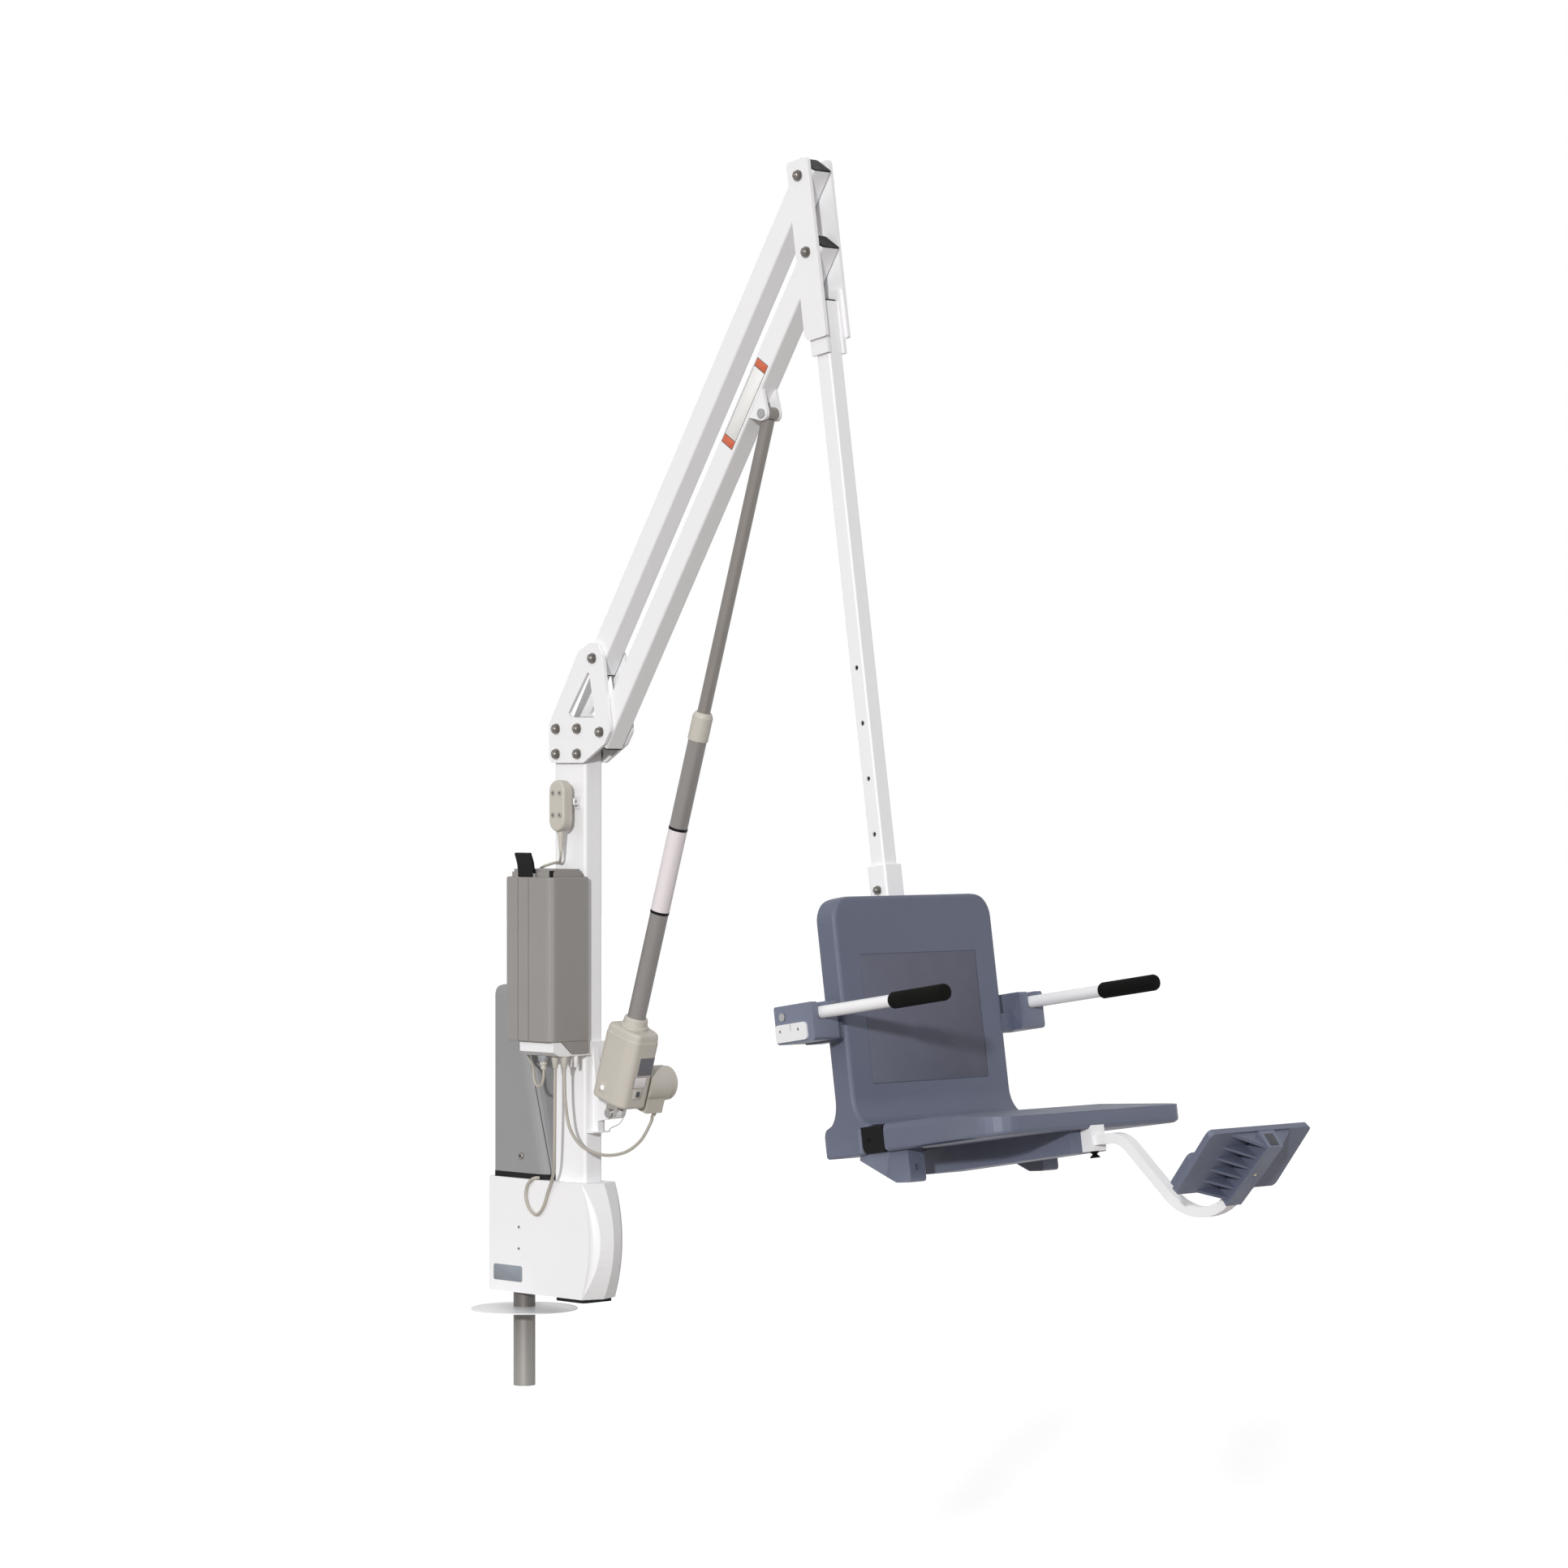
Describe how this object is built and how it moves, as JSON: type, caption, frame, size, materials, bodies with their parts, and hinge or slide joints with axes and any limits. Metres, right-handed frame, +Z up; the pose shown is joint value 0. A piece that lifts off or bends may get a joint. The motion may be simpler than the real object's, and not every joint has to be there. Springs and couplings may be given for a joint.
{
  "type": "pool patient lift",
  "caption": "Battery pool lift: a deck post carries a turning column, parallel arms raised by an actuator, and a hanging chair with flip-up armrests and a footrest.",
  "frame": {"origin": "on the axis of the post at deck level, where the deck ring's underside meets the deck", "axes": "+Z up along the post, +X from the post towards the chair, which faces +X; drawn with the arms raised"},
  "size_m": [2.2663, 0.6712, 2.617],
  "materials": {
    "post_steel": "satin",
    "white_coat": "gloss powder coat",
    "gear_steel": "machined",
    "bush_nylon": "smooth",
    "seal_rubber": "matte",
    "gray_cover": "fine texture",
    "motor_paint": "satin",
    "dark_hardware": "satin",
    "bright_steel": "satin",
    "beige_plastic": "fine texture",
    "button_gray": "matte",
    "lead_gray": "matte",
    "black_plastic": "satin",
    "navy_plastic": "moulded texture",
    "white_plastic": "satin",
    "grip_foam": "foam texture",
    "tube_gray": "satin",
    "rod_steel": "satin"
  },
  "bodies": {
    "anchor": {"anchor_post": "post_steel", "escutcheon": "white_coat", "fixed_gear": "gear_steel"},
    "column": {"base_frame": "gear_steel", "post_bushes": "bush_nylon", "base_enclosure": "white_coat", "front_cover": "white_coat", "base_seals": "seal_rubber", "motor_cover": "gray_cover", "rotation_gearmotor": "motor_paint", "mast_tube": "white_coat", "mast_brackets": "white_coat", "mast_bracket_bolts": "dark_hardware", "actuator_bracket": "white_coat", "actuator_base_pin": "bright_steel", "pin_lanyard": "bright_steel", "control_box": "white_coat", "lead_plugs": "beige_plastic", "handset_hook": "dark_hardware", "handset_shell": "beige_plastic", "actuator_lead": "lead_gray", "rotation_lead": "lead_gray", "handset_lead": "lead_gray"},
    "drive_pinion": {"drive_pinion": "gear_steel"},
    "battery": {"battery_pack": "gray_cover"},
    "battery_latch": {"battery_latch": "black_plastic"},
    "lift_up_button": {"lift_up_button": "button_gray"},
    "lift_down_button": {"lift_down_button": "button_gray"},
    "turn_left_button": {"turn_left_button": "button_gray"},
    "turn_right_button": {"turn_right_button": "button_gray"},
    "lower_arm": {"lower_arm_tube": "white_coat", "lower_arm_plugs": "black_plastic", "actuator_top_pin": "bright_steel"},
    "upper_arm": {"upper_arm_tube": "white_coat", "upper_arm_plugs": "black_plastic"},
    "chair": {"hanger_bracket": "white_coat", "arm_top_pins": "dark_hardware", "height_bolt": "dark_hardware", "seat_pole": "white_coat", "seat_sleeve": "white_coat", "chair_back": "navy_plastic", "seat_bracket": "black_plastic", "seat_pan": "navy_plastic", "armrest_strike_pads": "white_plastic", "armrest_pivots": "bright_steel", "footrest_receiver": "white_coat"},
    "armrest_right": {"armrest_right_tube": "white_coat", "armrest_right_grip": "grip_foam"},
    "armrest_left": {"armrest_left_tube": "white_coat", "armrest_left_grip": "grip_foam"},
    "footrest": {"footrest_bar": "white_coat", "footplate": "navy_plastic"},
    "footrest_knob": {"footrest_knob": "black_plastic"},
    "actuator": {"actuator_housing": "beige_plastic", "actuator_tube": "tube_gray", "actuator_nose": "beige_plastic", "actuator_motor": "beige_plastic", "actuator_rear_eye": "dark_hardware", "lead_screw": "gear_steel"},
    "actuator_rod": {"actuator_rod": "rod_steel"}
  },
  "joints": [
    {"name": "swivel", "type": "hinge", "parent": "anchor", "child": "column", "pos_m": [0, 0, 0.052], "axis": [0, 0, 1], "continuous": true},
    {"name": "pinion_spin", "type": "hinge", "parent": "column", "child": "drive_pinion", "pos_m": [0.05, 0, 0.262], "axis": [0, 0, 1], "continuous": true},
    {"name": "lift", "type": "hinge", "parent": "column", "child": "lower_arm", "pos_m": [0.2905, 0, 1.27], "axis": [0, 1, 0], "range_deg": [0, 70]},
    {"name": "upper_arm_swing", "type": "hinge", "parent": "column", "child": "upper_arm", "pos_m": [0.26637, 0, 1.42959], "axis": [0, 1, 0], "range_deg": [0, 70]},
    {"name": "chair_level", "type": "hinge", "parent": "lower_arm", "child": "chair", "pos_m": [0.92773, 0, 2.25124], "axis": [0, 1, 0], "range_deg": [-70, 0]},
    {"name": "actuator_tilt", "type": "hinge", "parent": "column", "child": "actuator", "pos_m": [0.3011, 0, 0.44806], "axis": [0, 1, 0], "range_deg": [0, 35], "deforming": ["actuator_lead"]},
    {"name": "rod_tilt", "type": "hinge", "parent": "lower_arm", "child": "actuator_rod", "pos_m": [0.78172, 0, 1.9291], "axis": [0, 1, 0], "range_deg": [-35, 0]},
    {"name": "armrest_right_flip", "type": "hinge", "parent": "chair", "child": "armrest_right", "pos_m": [1.16471, -0.302, 0.69761], "axis": [0, -1, 0], "range_deg": [0, 92]},
    {"name": "armrest_left_flip", "type": "hinge", "parent": "chair", "child": "armrest_left", "pos_m": [1.16471, 0.302, 0.69761], "axis": [0, -1, 0], "range_deg": [0, 92]},
    {"name": "footrest_slide", "type": "slide", "parent": "chair", "child": "footrest", "axis": [0.9888, 0, 0.1495], "range_m": [-0.03, 0.05]},
    {"name": "footrest_knob_turn", "type": "hinge", "parent": "chair", "child": "footrest_knob", "pos_m": [1.69078, 0, 0.45455], "axis": [-0.1495, 0, 0.9888], "continuous": true},
    {"name": "battery_lift", "type": "slide", "parent": "column", "child": "battery", "axis": [0, 0, 1], "range_m": [0, 0.01]},
    {"name": "battery_latch_swing", "type": "hinge", "parent": "battery", "child": "battery_latch", "pos_m": [0.1645, -0.13485, 0.961], "axis": [1, 0, 0], "range_deg": [0, 80]},
    {"name": "lift_up_press", "type": "slide", "parent": "column", "child": "lift_up_button", "axis": [0, 1, 0], "range_m": [0, 0.001], "stiffness_N_per_m": 400, "springref_m": -0.0005},
    {"name": "lift_down_press", "type": "slide", "parent": "column", "child": "lift_down_button", "axis": [0, 1, 0], "range_m": [0, 0.001], "stiffness_N_per_m": 400, "springref_m": -0.0005},
    {"name": "turn_left_press", "type": "slide", "parent": "column", "child": "turn_left_button", "axis": [0, 1, 0], "range_m": [0, 0.001], "stiffness_N_per_m": 400, "springref_m": -0.0005},
    {"name": "turn_right_press", "type": "slide", "parent": "column", "child": "turn_right_button", "axis": [0, 1, 0], "range_m": [0, 0.001], "stiffness_N_per_m": 400, "springref_m": -0.0005}
  ],
  "couplings": [
    {"joint": "pinion_spin", "follows": "swivel", "ratio": 2.3333},
    {"joint": "upper_arm_swing", "follows": "lift", "ratio": 1},
    {"joint": "chair_level", "follows": "lift", "ratio": -1},
    {"joint": "actuator_tilt", "follows": "lift", "ratio": 0.5},
    {"joint": "rod_tilt", "follows": "lift", "ratio": -0.5}
  ]
}
